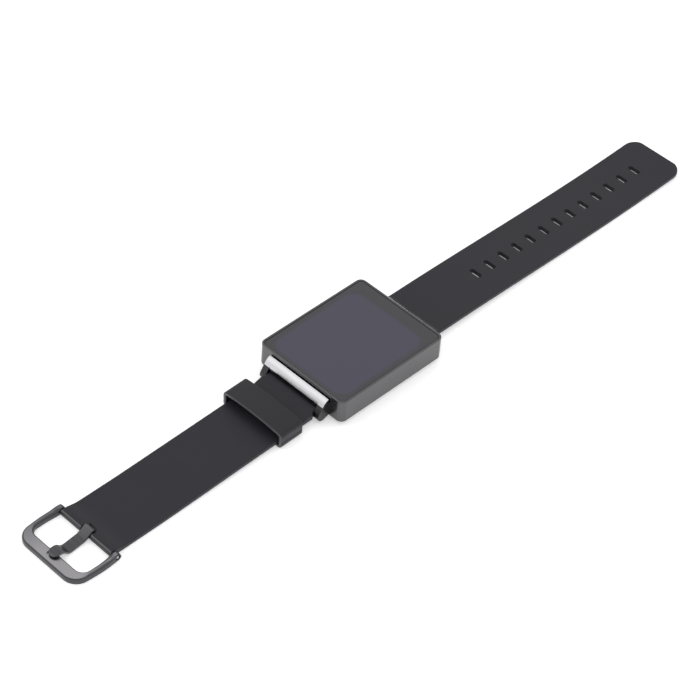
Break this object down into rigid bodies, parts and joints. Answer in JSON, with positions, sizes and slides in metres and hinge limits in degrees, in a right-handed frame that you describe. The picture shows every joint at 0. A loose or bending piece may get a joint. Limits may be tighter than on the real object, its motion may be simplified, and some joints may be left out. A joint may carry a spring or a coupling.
{
  "type": "fitness tracker band",
  "caption": "Square display case of a fitness tracker on a two-piece soft strap, laid out flat, with slots, a keeper loop and a tang buckle on spring bars.",
  "frame": {"origin": "centre of the case's back face, on the surface that the object lies on", "axes": "+Z out of the display, +Y along the strap towards the buckle (12 o'clock), +X towards 3 o'clock"},
  "size_m": [0.038, 0.2846, 0.0101],
  "materials": {
    "case_metal": "satin dark grey anodised metal",
    "cover_glass": "polished",
    "display": "dark blue-grey screen, switched off",
    "lug_metal": "satin",
    "strap_rubber": "matt moulded silicone rubber",
    "seal_rubber": "matt",
    "buckle_metal": "satin gunmetal",
    "steel": "satin",
    "back_plastic": "fine matt grain",
    "inner_plastic": "matt",
    "board": "solder-mask sheen",
    "chip": "matt",
    "flex": "polyimide film",
    "battery_foil": "satin foil",
    "contact_gold": "plated"
  },
  "bodies": {
    "case": {"case_frame": "case_metal", "cover_glass": "cover_glass", "glass_gasket": "seal_rubber", "display_panel": "display", "display_flex": "flex", "board_carrier": "inner_plastic", "main_board": "board", "processor_shield": "steel", "motion_sensor": "chip", "board_screws": "steel", "battery": "battery_foil", "vibration_motor": "steel", "back_cover": "back_plastic", "back_gasket": "seal_rubber", "case_screws": "steel", "charge_contacts": "contact_gold", "buckle_side_lug": "lug_metal", "free_side_lug": "lug_metal", "lug_screws": "steel"},
    "buckle_side": {"buckle_strap": "strap_rubber", "buckle_lug_bar": "steel", "buckle_lug_spring": "steel", "buckle_bar_tube": "steel", "buckle_bar_spring": "steel"},
    "free_side": {"free_strap": "strap_rubber", "free_lug_bar": "steel", "free_lug_spring": "steel"},
    "keeper": {"keeper_loop": "strap_rubber"},
    "buckle": {"buckle_frame": "buckle_metal"},
    "tongue": {"buckle_tongue": "buckle_metal"},
    "buckle_lug_tip_left": {"buckle_lug_tip_left": "steel"},
    "buckle_lug_tip_right": {"buckle_lug_tip_right": "steel"},
    "free_lug_tip_left": {"free_lug_tip_left": "steel"},
    "free_lug_tip_right": {"free_lug_tip_right": "steel"},
    "buckle_bar_tip_left": {"buckle_bar_tip_left": "steel"},
    "buckle_bar_tip_right": {"buckle_bar_tip_right": "steel"}
  },
  "joints": [
    {"name": "buckle_strap_hinge", "type": "hinge", "parent": "case", "child": "buckle_side", "pos_m": [0, 0.0258, 0.003], "axis": [1, 0, 0], "range_deg": [-95, 20]},
    {"name": "free_strap_hinge", "type": "hinge", "parent": "case", "child": "free_side", "pos_m": [0, -0.0258, 0.003], "axis": [-1, 0, 0], "range_deg": [-95, 20]},
    {"name": "keeper_slide", "type": "slide", "parent": "buckle_side", "child": "keeper", "axis": [0, 0.9997, -0.0234], "range_m": [0, 0.044]},
    {"name": "buckle_hinge", "type": "hinge", "parent": "buckle_side", "child": "buckle", "pos_m": [0, 0.1113, 0.00135], "axis": [1, 0, 0], "range_deg": [-80, 40]},
    {"name": "tongue_hinge", "type": "hinge", "parent": "buckle", "child": "tongue", "pos_m": [0, 0.1113, 0.00135], "axis": [1, 0, 0], "range_deg": [0, 75]},
    {"name": "buckle_lug_tip_left_slide", "type": "slide", "parent": "buckle_side", "child": "buckle_lug_tip_left", "axis": [1, 0, 0], "range_m": [0, 0.0012], "stiffness_N_per_m": 600, "springref_m": -0.0005, "deforming": ["buckle_lug_spring"]},
    {"name": "buckle_lug_tip_right_slide", "type": "slide", "parent": "buckle_side", "child": "buckle_lug_tip_right", "axis": [-1, 0, 0], "range_m": [0, 0.0012], "stiffness_N_per_m": 600, "springref_m": -0.0005, "deforming": ["buckle_lug_spring"]},
    {"name": "free_lug_tip_left_slide", "type": "slide", "parent": "free_side", "child": "free_lug_tip_left", "axis": [1, 0, 0], "range_m": [0, 0.0012], "stiffness_N_per_m": 600, "springref_m": -0.0005, "deforming": ["free_lug_spring"]},
    {"name": "free_lug_tip_right_slide", "type": "slide", "parent": "free_side", "child": "free_lug_tip_right", "axis": [-1, 0, 0], "range_m": [0, 0.0012], "stiffness_N_per_m": 600, "springref_m": -0.0005, "deforming": ["free_lug_spring"]},
    {"name": "buckle_bar_tip_left_slide", "type": "slide", "parent": "buckle_side", "child": "buckle_bar_tip_left", "axis": [1, 0, 0], "range_m": [0, 0.0018], "stiffness_N_per_m": 600, "springref_m": -0.0005, "deforming": ["buckle_bar_spring"]},
    {"name": "buckle_bar_tip_right_slide", "type": "slide", "parent": "buckle_side", "child": "buckle_bar_tip_right", "axis": [-1, 0, 0], "range_m": [0, 0.0018], "stiffness_N_per_m": 600, "springref_m": -0.0005, "deforming": ["buckle_bar_spring"]}
  ]
}
